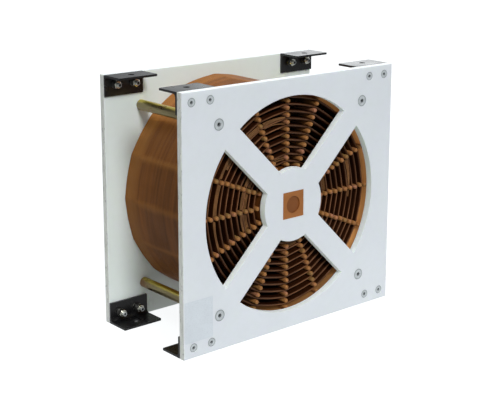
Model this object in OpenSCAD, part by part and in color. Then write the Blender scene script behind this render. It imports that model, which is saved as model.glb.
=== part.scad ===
// Air core reactor: concentric varnished coil layers on rods, clamped between two slotted end plates.
// The origin is the centre of the base, the coil axis runs along Y, the front faces -Y and Z is up.

/* [Winding] */
// Radius of the core that the first rods stand on
core_r = 50; // [44:0.5:60]
// Diameter of the rods that keep the air ducts open
rod_d = 7.4; // [6:0.1:9]
// Number of rods in each ring, one behind each corner of the coil
rods_per_ring = 16; // [12:2:20]
// Number of coil layers between the core and the outer coil
layer_count = 10; // [8:1:11]
// Thickness of a coil layer
layer_t = 2.4; // [1.6:0.1:3.2]
// Thickness of the outer coil
outer_coil_t = 2.4; // [1.6:0.1:4]
// How far a coil layer sinks between two rods
layer_sag = 1.2; // [0.6:0.1:2]
// Radius at which the inside of a coil layer bends over a rod
bend_r = 25; // [12:1:30]
// Distance from an end plate to the ends of the coil layers
layer_recess = 5.3; // [3.5:0.1:12]
// Distance from an end plate to the ends of the rods
rod_recess = 1.5; // [1:0.1:3]
// Rounding of the rod ends
rod_round = 2; // [0.5:0.1:3]

/* [End plates] */
// Thickness of an end plate
plate_t = 10; // [8:0.5:14]
// Clear space between the end plates
plate_gap = 165; // [140:5:240]
// Board left beside the coil on the left and right
side_margin = 30; // [24:1:50]
// Board left beside the coil at the top and bottom
end_margin = 18; // [14:1:40]
// Width of board from the edge of an air window to the outside of the coil
coil_cover = 7; // [5:0.5:8]
// Width of board around the core's end
core_cover = 2; // [1:0.5:4]
// Width of the diagonal arms between the air windows
arm_w = 34; // [26:1:44]
// Chamfer along the outer edges of an end plate
edge_chamfer = 0.8; // [0.2:0.1:1.5]

/* [Core bar] */
// Side of the square bar that passes through the plates
bar_w = 37.6; // [30:0.2:44]
// Diameter of the round pocket in each end of the bar
pocket_d = 24; // [16:0.5:28]
// Depth of the pockets
pocket_depth = 1.5; // [1:0.5:20]
// Distance from the bar's ends to the outer faces of the plates
bar_recess = 0.5; // [0.2:0.1:3]

/* [Tie tubes] */
// Outer diameter of a tie tube
tube_d = 15; // [13:0.5:18]
// Distance from a tube's axis to the side edge of the plates
tube_inset_x = 60; // [50:1:66]
// Distance from a tube's axis to the top or bottom edge of the plates
tube_inset_z = 48; // [42:1:52]

/* [Brackets] */
// Length of a bracket along the plate's edge
bracket_l = 62; // [56:1:80]
// Thickness of the bracket steel
bracket_t = 3; // [2:0.5:5]
// Height of the leg on the plate
leg_h = 30; // [26:1:36]
// Depth of the flange
flange_d = 38; // [30:1:50]
// Fillet in the inner corner between leg and flange
fillet_r = 4.5; // [2:0.5:4.5]
// Rounding of the outer corner between leg and flange
heel_r = 1; // [0.5:0.1:2]
// Radius of the flange's free corners
corner_r = 1; // [0.5:0.5:6]
// Diameter of the fixing hole in a flange
foot_hole_d = 9; // [7:0.5:13]
// Spacing of the two screws in a bracket
screw_pitch = 30; // [24:1:36]
// Height of the screws above the flange's outer face
screw_rise = 14; // [13:0.5:18]

/* [Fasteners] */
// Thread diameter of the tie screws
tie_screw_d = 8; // [6:1:10]
// Head diameter of the tie screws
tie_head_d = 16; // [14:0.5:20]
// Length of a tie screw
tie_screw_l = 30; // [20:1:45]
// Hexagon socket of a tie screw, across flats
tie_socket = 5; // [4:0.5:6]
// Thread diameter of the bracket screws
bracket_screw_d = 6; // [5:1:6]
// Head diameter of the bracket screws
bracket_head_d = 12; // [10:0.5:14]
// Length of a bracket screw
bracket_screw_l = 25; // [24:1:45]
// Hexagon socket of a bracket screw, across flats
bracket_socket = 4; // [3:0.5:4.5]
// Width of a bracket nut across its flats
nut_af = 10; // [9:0.5:12]
// Height of a bracket nut
nut_h = 5; // [4:0.5:7]
// Diameter of a washer
washer_d = 12; // [11:0.5:16]
// Thickness of a washer
washer_t = 1.6; // [1:0.1:2.5]
// Diameter of the spring ring between washer and nut
spring_d = 10; // [9:0.5:12]
// Thickness of the spring ring
spring_t = 1.6; // [1:0.1:2.5]

/* [Clearances] */
// Gap between a rod and the coil layers beside it
rod_seat = 0.1; // [0.05:0.05:0.3]
// Gap between the bar and the square holes around it
bar_fit = 0.2; // [0.1:0.05:0.4]
// Radial gap around a screw in its hole
screw_play = 0.3; // [0.1:0.05:0.5]
// Gap under a countersunk head and between nut and washer
head_seat = 0.1; // [0.05:0.05:0.2]
// Depth of a countersunk head below the plate's face
head_sunk = 0.3; // [0.1:0.1:1]

/* [Hidden] */

cut = 1;
bend_steps = 4;
belly_steps = 2;
end_steps = 3;
round_fn = 48;
rod_fn = 24;

rod_angle = 360 / rods_per_ring;
duct_h = rod_d + 2 * rod_seat;
layer_pitch = duct_h + layer_t;
outer_ring_r = core_r + duct_h / 2 + layer_count * layer_pitch;
coil_r = outer_ring_r + duct_h / 2 + outer_coil_t;

plate_w = 2 * (coil_r + side_margin);
plate_h = 2 * (coil_r + end_margin);
depth = plate_gap + 2 * plate_t;
window_r = coil_r - coil_cover;
hub_r = core_r + core_cover;
bar_hole = bar_w + 2 * bar_fit;

tube_x = plate_w / 2 - tube_inset_x;
tube_z = plate_h / 2 - tube_inset_z;
tube_bore_d = tie_screw_d + 2 * screw_play;
washer_y = plate_t + bracket_t - head_sunk;

bracket_x = plate_w / 2 - bracket_l / 2;
bracket_z = plate_h / 2 - screw_rise;

// Distance from the coil axis to the rods of ring k, with ring 1 on the core
function ring_r(k) = core_r + duct_h / 2 + (k - 1) * layer_pitch;

// Angle from a rod to where a layer over it runs out into its round belly, or into a straight side
function lean(centre_r) = min(acos(1 - layer_sag / centre_r), rod_angle / 2);

function toward(angle) = [cos(angle), sin(angle)];

// Outline wound over a ring of rods: an arc over each rod, about a centre behind it, and a flatter belly
// between two rods
function wound_outline(centre_r, arc_r) =
    let (
        tilt = lean(centre_r),
        belly_a = rod_angle - 2 * tilt,
        belly_r = centre_r * cos(tilt) + arc_r
    )
    [
        for (i = [0 : rods_per_ring - 1])
            let (rod_a = i * rod_angle)
            each concat(
                [
                    for (k = [0 : bend_steps])
                        centre_r * toward(rod_a)
                            + arc_r * toward(rod_a + (2 * k / bend_steps - 1) * tilt)
                ],
                [
                    for (k = [0 : belly_steps])
                        if (belly_a > 1)
                            belly_r * toward(rod_a + tilt + belly_a * k / belly_steps)
                ]
            )
    ];

// Raises a drawing of the coil's end view and gives it the depth from y to y + length
module upright(y, length) {
    translate([0, y + length, plate_h / 2])
        rotate([90, 0, 0])
            linear_extrude(length)
                children();
}

// A coil wound over the rods of ring k
module coil_over(k, thickness, length) {
    bend_centre_r = ring_r(k) + duct_h / 2 - bend_r;
    upright(-length / 2, length)
        difference() {
            polygon(wound_outline(bend_centre_r, bend_r + thickness));
            polygon(wound_outline(bend_centre_r, bend_r));
        }
}

module coil_layer(k) {
    color("sienna")
        coil_over(k, layer_t, plate_gap - 2 * layer_recess);
}

module outer_coil() {
    color("saddlebrown")
        coil_over(layer_count + 1, outer_coil_t, plate_gap);
}

module duct_rods(k) {
    rod_l = plate_gap - 2 * rod_recess;
    color("peru")
        for (i = [0 : rods_per_ring - 1])
            translate([
                ring_r(k) * cos(i * rod_angle),
                rod_l / 2,
                plate_h / 2 + ring_r(k) * sin(i * rod_angle)
            ])
                rotate([90, 0, 0])
                    rod(rod_l);
}

module rod(length) {
    near_end = [
        for (k = [0 : end_steps])
            [rod_d / 2 - rod_round, rod_round]
                + rod_round * [sin(90 * k / end_steps), -cos(90 * k / end_steps)]
    ];
    far_end = [
        for (k = [end_steps : -1 : 0])
            [near_end[k].x, length - near_end[k].y]
    ];
    rotate_extrude($fn = rod_fn)
        polygon(concat([[0, 0]], near_end, far_end, [[0, length]]));
}

// The core fills the coil behind the plates' hubs and bears on both plates
module winding_core() {
    corner = rod_d;
    color("burlywood")
        upright(-plate_gap / 2, plate_gap)
            difference() {
                polygon(wound_outline(core_r - corner, corner));
                square(bar_hole, center = true);
            }
}

module core_bar() {
    bar_l = depth - 2 * bar_recess;
    color("chocolate")
        difference() {
            upright(-bar_l / 2, bar_l)
                square(bar_w, center = true);
            for (end_y = [-bar_l / 2, bar_l / 2])
                upright(end_y - pocket_depth, 2 * pocket_depth)
                    circle(d = pocket_d, $fn = round_fn);
        }
}

module air_windows() {
    difference() {
        circle(window_r, $fn = 96);
        circle(hub_r, $fn = round_fn);
        for (angle = [45, 135])
            rotate(angle)
                square([plate_w + plate_h, arm_w], center = true);
    }
}

// Hole and countersink for a screw that enters the front plate's outer face at x, z from the coil axis
module sunk_hole(x, z, screw_d, head_d) {
    hole_d = screw_d + 2 * screw_play;
    mouth_d = head_d + 2 * (head_sunk + head_seat);
    translate([x, -depth / 2, plate_h / 2 + z])
        rotate([-90, 0, 0]) {
            translate([0, 0, -cut])
                cylinder(h = plate_t + 2 * cut, d = hole_d, $fn = round_fn);
            translate([0, 0, -cut])
                cylinder(
                    h = cut + (mouth_d - hole_d) / 2,
                    d1 = mouth_d + 2 * cut,
                    d2 = hole_d,
                    $fn = round_fn
                );
        }
}

// Outline of a board seen from its edge, with a chamfer at each corner
module chamfered(width, thickness) {
    side = width / 2 - edge_chamfer;
    face = thickness / 2 - edge_chamfer;
    polygon([
        [-side, -thickness / 2], [side, -thickness / 2],
        [width / 2, -face], [width / 2, face],
        [side, thickness / 2], [-side, thickness / 2],
        [-width / 2, face], [-width / 2, -face]
    ]);
}

// The front plate's board before it is drilled, chamfered along all its outer edges
module board() {
    intersection() {
        upright(-depth / 2, plate_t)
            difference() {
                square([plate_w, plate_h], center = true);
                air_windows();
                square(bar_hole, center = true);
            }
        translate([0, (plate_t - depth) / 2, -cut])
            linear_extrude(plate_h + 2 * cut)
                chamfered(plate_w, plate_t);
        translate([-plate_w / 2 - cut, (plate_t - depth) / 2, plate_h / 2])
            rotate([90, 0, 90])
                linear_extrude(plate_w + 2 * cut)
                    rotate(90)
                        chamfered(plate_h, plate_t);
    }
}

module end_plate() {
    color("gainsboro")
        difference() {
            board();
            for (sx = [-1, 1], sz = [-1, 1]) {
                sunk_hole(sx * tube_x, sz * tube_z, tie_screw_d, tie_head_d);
                for (side = [-0.5, 0.5])
                    sunk_hole(
                        sx * (bracket_x + side * screw_pitch),
                        sz * bracket_z,
                        bracket_screw_d,
                        bracket_head_d
                    );
            }
        }
}

module tie_tube(sx, sz) {
    color("darkkhaki")
        translate([sx * tube_x, 0, sz * tube_z])
            upright(-plate_gap / 2, plate_gap)
                difference() {
                    circle(d = tube_d, $fn = round_fn);
                    circle(d = tube_bore_d, $fn = round_fn);
                }
}

// Side view of a bracket: leg up the plate, flange away from it, joined by a fillet
module angle_section() {
    difference() {
        union() {
            square([bracket_t, leg_h]);
            square([flange_d, bracket_t]);
            square(bracket_t + fillet_r);
        }
        translate([bracket_t + fillet_r, bracket_t + fillet_r])
            circle(fillet_r, $fn = round_fn);
        difference() {
            translate([-cut, -cut])
                square(heel_r + cut);
            translate([heel_r, heel_r])
                circle(heel_r, $fn = round_fn);
        }
    }
}

// A cutter that rounds one corner of a sheet: the corner is at the origin, the sheet along +X and +Y
module corner_cutter() {
    linear_extrude(2 * bracket_t + 2 * cut)
        difference() {
            translate([-cut, -cut])
                square(corner_r + cut);
            translate([corner_r, corner_r])
                circle(corner_r, $fn = round_fn);
        }
}

// The bracket at the front plate's lower right corner
module base_bracket() {
    translate([plate_w / 2 - bracket_l, -plate_gap / 2, 0])
        difference() {
            multmatrix([[0, 0, 1, 0], [1, 0, 0, 0], [0, 1, 0, 0], [0, 0, 0, 1]])
                linear_extrude(bracket_l)
                    angle_section();
            translate([bracket_l / 2, (flange_d + bracket_t) / 2, -cut])
                cylinder(h = bracket_t + 2 * cut, d = foot_hole_d, $fn = round_fn);
            for (side = [-0.5, 0.5])
                translate([bracket_l / 2 + side * screw_pitch, -cut, screw_rise])
                    rotate([-90, 0, 0])
                        cylinder(
                            h = bracket_t + 2 * cut,
                            d = bracket_screw_d + 2 * screw_play,
                            $fn = round_fn
                        );
            translate([0, flange_d, -cut])
                mirror([0, 1, 0])
                    corner_cutter();
            translate([bracket_l, flange_d, -cut])
                rotate([0, 0, 180])
                    corner_cutter();
        }
}

// Turns what is drawn at the front lower right into any of the eight corners
module at_corner(sx, sy, sz) {
    translate([0, 0, sz > 0 ? plate_h : 0])
        mirror([0, 0, sz > 0 ? 1 : 0])
            mirror([0, sy > 0 ? 1 : 0, 0])
                mirror([sx < 0 ? 1 : 0, 0, 0])
                    children();
}

module bracket(sx, sy, sz) {
    color("dimgray")
        at_corner(sx, sy, sz)
            base_bracket();
}

// A countersunk screw with its head at the origin and its shank along +Z
module sunk_screw(screw_d, head_d, length, socket) {
    head_h = (head_d - screw_d) / 2;
    socket_h = head_h * 0.7;
    difference() {
        union() {
            cylinder(h = length, d = screw_d, $fn = round_fn);
            cylinder(h = head_h, d1 = head_d, d2 = screw_d, $fn = round_fn);
        }
        translate([0, 0, -cut])
            cylinder(h = socket_h + cut, d = socket / cos(30), $fn = 6);
    }
}

// Places a screw in the front plate's lower right hole at x, with z measured from the base
module drive(x, z) {
    translate([x, head_sunk - depth / 2, z])
        rotate([-90, 0, 0])
            children();
}

module tie_screws() {
    color("silver")
        for (sx = [-1, 1], sy = [-1, 1], sz = [-1, 1])
            at_corner(sx, sy, sz)
                drive(tube_x, tube_inset_z)
                    sunk_screw(tie_screw_d, tie_head_d, tie_screw_l, tie_socket);
}

// Repeats something at both screws of all eight brackets
module at_bracket_screws() {
    for (sx = [-1, 1], sy = [-1, 1], sz = [-1, 1], side = [-0.5, 0.5])
        at_corner(sx, sy, sz)
            drive(bracket_x + side * screw_pitch, screw_rise)
                children();
}

module bracket_screws() {
    color("silver")
        at_bracket_screws()
            sunk_screw(bracket_screw_d, bracket_head_d, bracket_screw_l, bracket_socket);
}

// A washer with a spring ring on it
module bracket_washers() {
    color("lightgray")
        at_bracket_screws()
            translate([0, 0, washer_y])
                difference() {
                    union() {
                        cylinder(h = washer_t, d = washer_d, $fn = round_fn);
                        cylinder(h = washer_t + spring_t, d = spring_d, $fn = round_fn);
                    }
                    translate([0, 0, -cut])
                        cylinder(
                            h = washer_t + spring_t + 2 * cut,
                            d = bracket_screw_d + 2 * screw_play,
                            $fn = round_fn
                        );
                }
}

module bracket_nuts() {
    color("lightgray")
        at_bracket_screws()
            translate([0, 0, washer_y + washer_t + spring_t])
                linear_extrude(nut_h)
                    difference() {
                        circle(d = nut_af / cos(30), $fn = 6);
                        circle(d = bracket_screw_d + 2 * head_seat, $fn = round_fn);
                    }
}

end_plate();  // front_plate
mirror([0, 1, 0]) end_plate();  // back_plate
outer_coil();
for (k = [1 : layer_count])
    coil_layer(k);
for (k = [1 : layer_count + 1])
    duct_rods(k);
winding_core();
core_bar();
tie_tube(-1, -1);  // tie_tube_left_bottom
tie_tube(1, -1);  // tie_tube_right_bottom
tie_tube(-1, 1);  // tie_tube_left_top
tie_tube(1, 1);  // tie_tube_right_top
bracket(-1, -1, -1);  // bracket_front_left_bottom
bracket(1, -1, -1);  // bracket_front_right_bottom
bracket(-1, -1, 1);  // bracket_front_left_top
bracket(1, -1, 1);  // bracket_front_right_top
bracket(-1, 1, -1);  // bracket_back_left_bottom
bracket(1, 1, -1);  // bracket_back_right_bottom
bracket(-1, 1, 1);  // bracket_back_left_top
bracket(1, 1, 1);  // bracket_back_right_top
tie_screws();
bracket_screws();
bracket_washers();
bracket_nuts();
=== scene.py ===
"""Looks of the air core reactor around its CAD parts: finishes, the winding turn by turn, spacer rods,
nuts, washers, spring rings, threads, leads, a blank label and the studio."""
import math
import random

import bpy
from mathutils import Matrix, Vector


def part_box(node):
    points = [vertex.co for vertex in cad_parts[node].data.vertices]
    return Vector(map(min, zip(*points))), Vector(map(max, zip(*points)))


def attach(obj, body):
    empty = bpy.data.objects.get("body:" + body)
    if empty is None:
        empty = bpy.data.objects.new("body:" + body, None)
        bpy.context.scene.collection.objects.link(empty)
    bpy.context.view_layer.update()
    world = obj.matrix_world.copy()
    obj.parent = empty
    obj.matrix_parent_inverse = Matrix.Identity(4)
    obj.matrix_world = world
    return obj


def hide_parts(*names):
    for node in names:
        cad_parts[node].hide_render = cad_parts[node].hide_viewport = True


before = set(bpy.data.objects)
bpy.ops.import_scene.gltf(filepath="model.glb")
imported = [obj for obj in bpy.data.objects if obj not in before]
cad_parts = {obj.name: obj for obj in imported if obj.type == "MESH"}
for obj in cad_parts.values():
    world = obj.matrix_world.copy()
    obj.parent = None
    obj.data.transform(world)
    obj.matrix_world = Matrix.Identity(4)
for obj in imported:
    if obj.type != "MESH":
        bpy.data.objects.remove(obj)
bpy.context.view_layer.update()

bl_info = {
    "name": "Air core reactor looks",
    "version": (1, 0, 0),
    "blender": (4, 5, 0),
    "location": "View3D > Sidebar > Reactor",
    "description": "Finishes and small pieces of an air core reactor around its CAD parts",
    "category": "Object",
}

MM = 0.001
BLACK = (0, 0, 0)
WHITE = (1, 1, 1)


def node_names(start):
    """Names of the CAD nodes that start with these words."""
    return sorted(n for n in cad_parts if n.startswith(start))


PLATE_LOW, PLATE_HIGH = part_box("front_plate")
AXIS_Z = (PLATE_LOW.z + PLATE_HIGH.z) / 2
ON_AXIS = (0, 0, AXIS_Z)
TO_AXIS = (0, 0, -AXIS_Z)
LAYERS = len(node_names("coil_layer"))
RODS_ROUND = 16  # in each ring of spacer rods
SCREWS = 16  # that hold the brackets

# Vertices merge under the first distance, and the turns and halves of a winding under the second.
MERGE = 0.002 * MM
MERGE_TURNS = 0.01 * MM

# A wire's outline, as shares of (the pitch, the groove's depth).
WIRE = ((0, 1), (0.2, 0.28), (0.5, 0), (0.8, 0.28), (1, 1))
# A layer's rounded first turn, as shares of (the pitch, half the layer's thickness), and its turns that show.
FIRST_TURN = ((0, 0.16), (0.1, 0.45), (0.3, 0.76), (0.62, 0.96), (0.9, 1))
TURNS_SEEN = 6
# A rod's rounded end, as shares of its radius (along it, from its middle line).
ROD_END = ((0, 0.42), (0.12, 0.68), (0.36, 0.88), (0.75, 1.0))

# The leads: duct, first and last angle in degrees, paths, and how far they lie behind the layers' ends.
# A path is its distance from the duct's middle, or a row of distances where it drifts, in millimetres.
# A lead stops at a distance from a rod's middle, and is extruded in steps of some degrees.
BY_ROD = 4.0
LEAD_STEP = 2.5
LEADS = (
    (8, 90, 112.5, ((-3.4, -3.2), (-3.0, -1.0), (-2.6, 1.2)), -1.2),
    (8, 112.5, 134, ((-3.2, -2.6), (-1.0, -0.4), (1.2, 1.8)), -1.2),
    (7, 92, 110, ((-2.5, 1.2, 2.5),), 0.4),
    (2, 90, 112.5, ((-2.4, -0.6), (0.4, 2.4)), 0.8),
    (8, 136, 157.5, (5.0, 3.0), -1.2),
    (8, 157.5, 180, (5.0, 3.0, 1.0), -1.2),
    (8, 180, 202.5, (5.0, (3.0, 3.4)), -1.2),
    (8, 136, 149, (-2.9, -0.9), 0.5),
    (4, 138, 157.5, (-3.4, -1.3), -0.4),
    (4, 157.5, 180, (-3.4, -1.3), -0.4),
    (4, 180, 202.5, (-3.4, (-1.3, -2.0)), -0.4),
    (3, 138, 157.5, (-2.4, -0.2), 1.4),
    (3, 157.5, 180, (-2.4, -0.2, 2.0), 2.0),
    (3, 180, 202.5, (-2.4, -0.2, 2.0), 1.4),
    (8, -6, 0, ((-2.5, -2.2),), 0.3),
    (8, 0, 22.5, (-2.5, (-2.2, 0.0), (-1.0, 2.5)), 0.3),
    (3, 0, 22.5, (-2.5, -0.1, 2.3), 2.0),
    (2, 270, 292.5, (-2.5, -0.1, 2.3), 1.6),
    (2, 292.5, 306, (-2.5, -0.1, 2.3), 1.6),
)

# The studio, in metres. A lamp has its name, which is its strength's too, the way it lies and its width in
# degrees.
FLOOR_SIZE = 40
LAMP_DISTANCE = 3
LAMPS = (
    ("key_light", (-0.184, -0.798, 0.574), 14),
    ("fill_light", (-0.6, -0.68, 0.42), 80),
    ("top_light", (-0.1, 0.1, 1.0), 75),
)


# ---------------------------------------------------------------- nodes

def times(colour, by):
    """A colour times a number, or times a number each for red, green and blue."""
    factors = by if isinstance(by, tuple) else (by, by, by)
    return tuple(min(1.0, c * k) for c, k in zip(colour, factors))


class Nodes:
    """Short ways to add and link the nodes of a material or world."""

    def __init__(self, owner, shader="Principled BSDF"):
        owner.use_nodes = True
        self.owner = owner
        self.tree = owner.node_tree
        self.shader = self.tree.nodes[shader]
        self.spot = self.add("ShaderNodeTexCoord").outputs["Object"]

    def feed(self, socket, value):
        """Links a node's output to a socket, or sets the socket to a number, a place or a colour."""
        if hasattr(value, "links"):
            self.tree.links.new(value, socket)
        elif socket.type == "RGBA":
            socket.default_value = (*value, 1)
        else:
            socket.default_value = value

    def add(self, kind, sockets=None, **settings):
        """Adds a node, sets it and feeds its sockets by name or number."""
        node = self.tree.nodes.new(kind)
        for key, value in settings.items():
            setattr(node, key, value)
        for key, value in (sockets or {}).items():
            self.feed(node.inputs[key], value)
        return node

    def place(self, scale=(1, 1, 1), shift=(0, 0, 0)):
        """Object coordinates, scaled and shifted."""
        sockets = {"Vector": self.spot, "Scale": scale, "Location": shift}
        return self.add("ShaderNodeMapping", sockets).outputs["Vector"]

    def axis(self, name, vector=None):
        """One coordinate of a vector, of the spot unless told."""
        return self.add("ShaderNodeSeparateXYZ", {"Vector": vector or self.spot}).outputs[name]

    def facing(self, name):
        """One coordinate of the way that the surface faces."""
        return self.axis(name, self.add("ShaderNodeNewGeometry").outputs["Normal"])

    def along(self):
        """How far a spot lies from the coil's middle, along its axis."""
        return self.math("ABSOLUTE", self.axis("Y"))

    def noise(self, scale, detail, rough, squeeze=None):
        """Noise on object coordinates, squeezed along each axis by these factors."""
        vector = self.place(squeeze) if squeeze else self.spot
        sockets = {"Vector": vector, "Scale": scale, "Detail": detail, "Roughness": rough}
        return self.add("ShaderNodeTexNoise", sockets).outputs["Fac"]

    def ramp(self, fac, *stops):
        """A colour ramp with stops of (position, colour)."""
        node = self.add("ShaderNodeValToRGB", {"Fac": fac})
        elements = node.color_ramp.elements
        while len(elements) < len(stops):
            elements.new(0.5)
        for element, (at, colour) in zip(elements, stops):
            element.position = at
            element.color = (*colour, 1)
        return node.outputs["Color"]

    def grey(self, fac, low, high, start=0.0, end=1.0):
        """Maps a value from start..end to low..high."""
        sockets = {"Value": fac, "From Min": start, "From Max": end, "To Min": low, "To Max": high}
        return self.add("ShaderNodeMapRange", sockets).outputs["Result"]

    def math(self, how, *values):
        return self.add("ShaderNodeMath", dict(enumerate(values)), operation=how).outputs["Value"]

    def vector(self, how, *values):
        node = self.add("ShaderNodeVectorMath", dict(enumerate(values)), operation=how)
        return node.outputs["Vector" if how == "NORMALIZE" else "Value"]

    def mix(self, fac, a, b, blend="MIX"):
        """Mixes two colours."""
        return self.add("ShaderNodeMix", {0: fac, 6: a, 7: b}, data_type="RGBA", blend_type=blend).outputs[2]

    def between(self, fac, a, b):
        """Mixes two numbers."""
        return self.add("ShaderNodeMix", {"Factor": fac, "A": a, "B": b}).outputs["Result"]

    def bump(self, height, strength, distance, **under):
        sockets = {"Height": height, "Strength": strength, "Distance": distance, **under}
        return self.add("ShaderNodeBump", sockets).outputs["Normal"]

    def finish(self, **sockets):
        """Feeds the shader's sockets, with _ for each space of a name, and gives the material."""
        for name, value in sockets.items():
            self.feed(self.shader.inputs[name.replace("_", " ")], value)
        return self.owner

    def surface(self, tone, uneven, gloss, dull, height, strength, distance, **fixed):
        """Finishes with a colour, a roughness from gloss to dull over an uneven value, and a bump."""
        return self.finish(
            Base_Color=tone, Roughness=self.grey(uneven, gloss, dull, 0.3, 0.7),
            Normal=self.bump(height, strength, distance), **fixed)


def material_nodes(name):
    """The nodes of a new material."""
    return Nodes(bpy.data.materials.new(name))


# ---------------------------------------------------------------- finishes

def board_material(finishes):
    """Glass-polyester board: smooth white resin skin and sawn sides, and it lets a little light through. Its
    edges at the windows and along the top and bottom are painted paler than the skin, bluer where they face
    up, and given a painted glow though they are no lamp, all to stand in for light on them. The back board's
    skin is painted a little lighter and less blue, to stand in for the light on it."""
    n = material_nodes("glass_polyester_board")
    base = finishes.board
    fibres = n.noise(95, 6, 0.65)
    cloud = n.noise(9, 2, 0.5)
    plies = n.noise(1.0, 3, 0.6, (60, 1400, 60))
    specks = n.noise(150, 4, 0.7, (1, 2.5, 1))
    skin = n.mix(n.grey(cloud, 0.0, 1.0, 0.35, 0.65), times(base, 0.975), base)
    skin = n.mix(n.grey(fibres, 0.0, 0.10, 0.45, 0.75), skin, (0.62, 0.66, 0.64))
    # Painted light: the back board's skin is a little lighter and less blue than the front's, to stand in for
    # the light on it.
    back = n.grey(n.axis("Y"), 0.0, 1.0, 0, 1 * MM)
    skin = n.mix(back, skin, (1.035, 1.065, 0.985), "MULTIPLY")
    # Painted light: the routed edges at the windows and along the top and bottom are paler than the skin, and
    # bluer where they face up, as light from above would make them.
    routed_painted_pale = n.mix(n.grey(plies, 0.0, 0.5, 0.35, 0.7), (0.91, 0.97, 0.94), (0.79, 0.87, 0.80))
    routed_painted_pale = n.mix(n.grey(n.facing("Z"), 0.0, 1.0, 0.1, 0.6), routed_painted_pale, (0.90, 0.955, 0.985))
    sawn = n.mix(n.grey(plies, 0.0, 1.0, 0.35, 0.7), (0.90, 0.93, 0.875), (0.56, 0.58, 0.54))
    sawn = n.mix(n.grey(specks, 0.0, 0.8, 0.57, 0.72), sawn, (0.16, 0.17, 0.16))
    cut = n.grey(n.math("ABSOLUTE", n.facing("Y")), 1.0, 0.0, 0.55, 0.8)
    sideways = n.math("ABSOLUTE", n.axis("X"))
    side = n.grey(sideways, 0.0, 1.0, PLATE_HIGH.x - 2 * MM, PLATE_HIGH.x - 1 * MM)
    tone = n.mix(cut, skin, n.mix(side, routed_painted_pale, sawn))
    # Painted glow on the routed edges, though they are no lamp.
    clear = n.math("MULTIPLY", cut, n.math("SUBTRACT", 1.0, side))
    rough = n.math("ADD", n.grey(fibres, 0.34, 0.46, 0.3, 0.7), n.math("MULTIPLY", cut, 0.2))
    normal = n.bump(plies, 0.05, 0.3 * MM, Normal=n.bump(fibres, 0.10, 0.3 * MM))
    return n.finish(
        Base_Color=tone, Roughness=rough, Normal=normal, Specular_IOR_Level=0.45,
        Emission_Color=n.mix(clear, BLACK, (0.80, 1.0, 0.86)), Emission_Strength=0.09,
        Subsurface_Weight=0.35, Subsurface_Radius=(0.9, 1.0, 0.8), Subsurface_Scale=6 * MM)


def wire_tone(n, colour, pitch):
    """Wire laid side by side: single turns and groups of turns that differ in tone, and darker patches.
    Gives the tone, the turns' noise and the patches' noise."""
    turns = n.noise(1.0, 0, 0.5, (9, 0.45 / pitch, 9))
    groups = n.noise(1.0, 2, 0.5, (5, 0.10 / pitch, 5))
    patches = n.noise(24, 4, 0.6)
    dark = times(colour, 0.66)
    tone = n.mix(n.grey(turns, 0.0, 0.8, 0.35, 0.7), colour, dark)
    tone = n.mix(n.grey(groups, 0.0, 0.75, 0.5, 0.75), tone, times(colour, (1.45, 1.5, 1.5)))
    return n.mix(n.grey(patches, 0.0, 0.4, 0.45, 0.75), tone, dark), turns, patches


def varnished(n, tone, patches, gloss, **fixed):
    """Uneven varnish over wire."""
    return n.surface(tone, patches, gloss, gloss + 0.18, patches, 0.12, 0.4 * MM, **fixed)


def outer_material(finishes, sizes):
    """Outside of the coil: pale bands at its ends and pale ridges over the rods. It is painted lighter where
    it faces up and darker where it faces sideways or down, as light from above would make it.
    """
    n = material_nodes("outer_winding")
    tone, turns, patches = wire_tone(n, finishes.winding, sizes.turn_pitch)
    centred = n.place(shift=TO_AXIS)
    angle = n.math("ARCTAN2", n.axis("Z", centred), n.axis("X", centred))
    step = 2 * math.pi / RODS_ROUND
    from_middle = n.math("ABSOLUTE", n.math("SUBTRACT", n.math("WRAP", angle, step, 0.0), step / 2))
    from_rod = n.math("DIVIDE", n.math("SUBTRACT", step / 2, from_middle), math.radians(1.7))
    wander = n.grey(patches, -0.4, 0.4, 0.3, 0.7)
    ridge = n.grey(n.math("ADD", from_rod, wander), 1.0, 0.0, 0.2, 1.5)
    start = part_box("coil_layer_1")[1].y - sizes.end_band
    uneven = n.math("ADD", n.along(), n.math("MULTIPLY", wander, 5 * MM))
    end = n.grey(uneven, 0.0, 0.8, start - 3 * MM, start + 6 * MM)
    band = finishes.end_bands
    pale = n.mix(n.grey(turns, 0.0, 0.4, 0.3, 0.7), band, times(band, 0.8))
    tone = n.mix(n.math("MAXIMUM", end, n.math("MULTIPLY", ridge, 0.75)), tone, pale)
    # Painted light and shade by the way the surface faces: lighter facing up, darker facing sideways and
    # down.
    painted_light_and_shade = n.ramp(n.facing("Z"), (0.0, (0.88, 0.86, 0.80)), (0.25, WHITE), (0.55, (1.5, 1.55, 1.6)),
                   (0.95, (1.1, 1.08, 1)))
    return varnished(n, n.mix(1.0, tone, painted_light_and_shade, "MULTIPLY"), patches, 0.42, Specular_IOR_Level=0.22)


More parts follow.
